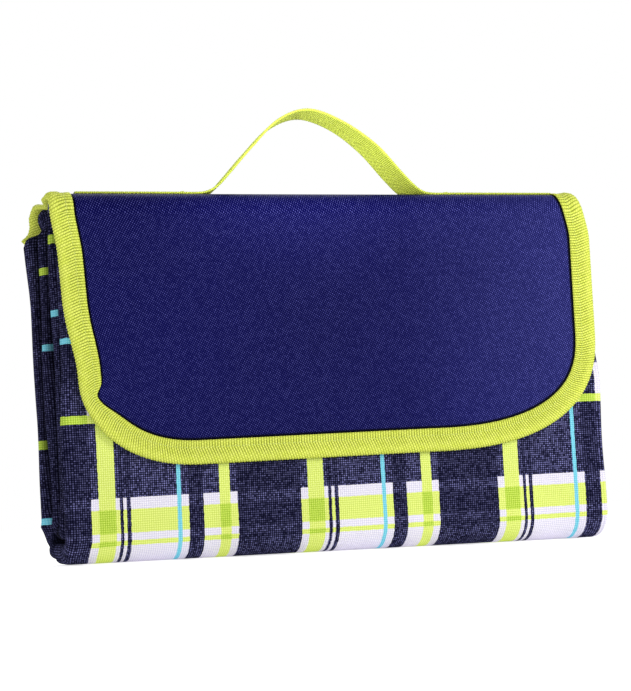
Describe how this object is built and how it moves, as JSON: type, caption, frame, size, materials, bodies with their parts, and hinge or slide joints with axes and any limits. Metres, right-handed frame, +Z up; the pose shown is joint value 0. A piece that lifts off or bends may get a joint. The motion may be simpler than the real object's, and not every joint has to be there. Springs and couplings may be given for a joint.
{
  "type": "folded picnic mat",
  "caption": "Padded plaid picnic mat folded flat inside its own bound cover, with a front flap that lifts and a webbing carry handle that swings.",
  "frame": {"origin": "middle of the footprint, on the floor that the folded mat stands on", "axes": "+X to the right across the width as seen from the front, the flap faces -Y, +Z up"},
  "size_m": [0.394, 0.069, 0.3054],
  "materials": {
    "printed_cloth": "plaid printed woven polyester, heathered navy, lime, white and light blue, dry matte",
    "mat_foam": "thin open cell sponge sheet, matte",
    "mat_backing": "coated waterproof film, soft sheen",
    "mat_tape": "folded woven edge tape, matte",
    "cover_cloth": "navy coated oxford cloth, fine plain weave, low sheen",
    "cover_foam": "thin foam interlining, matte",
    "cover_lining": "dark woven lining, matte",
    "binding_tape": "lime ribbed grosgrain binding with one stitch line",
    "handle_webbing": "lime woven polypropylene webbing, slight sheen",
    "thread": "lime sewing thread, matte",
    "touch_tape": "black hook and loop tape, matte"
  },
  "bodies": {
    "mat": {"mat_printed_face": "printed_cloth", "mat_foam_core": "mat_foam", "mat_waterproof_backing": "mat_backing", "mat_side_tape_outer": "mat_tape", "mat_side_tape_inner": "mat_tape", "mat_end_tape_front": "mat_tape", "mat_end_tape_inner": "mat_tape", "cover_back_outer": "cover_cloth", "cover_back_pad": "cover_foam", "cover_back_lining": "cover_lining", "cover_back_binding_left": "binding_tape", "cover_back_binding_right": "binding_tape", "cover_back_binding_bottom": "binding_tape", "loop_strip_left": "touch_tape", "loop_strip_right": "touch_tape", "handle_run_left": "handle_webbing", "handle_run_right": "handle_webbing", "bar_tack_left": "thread", "bar_tack_right": "thread"},
    "flap": {"flap_outer": "cover_cloth", "flap_pad": "cover_foam", "flap_lining": "cover_lining", "flap_binding": "binding_tape", "hook_strip_left": "touch_tape", "hook_strip_right": "touch_tape"},
    "handle": {"handle_loop": "handle_webbing"}
  },
  "joints": [
    {"name": "flap_open", "type": "hinge", "parent": "mat", "child": "flap", "pos_m": [0, -0.03485, 0.22985], "axis": [-1, 0, 0], "range_deg": [0, 160]},
    {"name": "handle_swing", "type": "hinge", "parent": "mat", "child": "handle", "pos_m": [0, -0.00535, 0.261], "axis": [1, 0, 0], "range_deg": [-85, 42]}
  ]
}
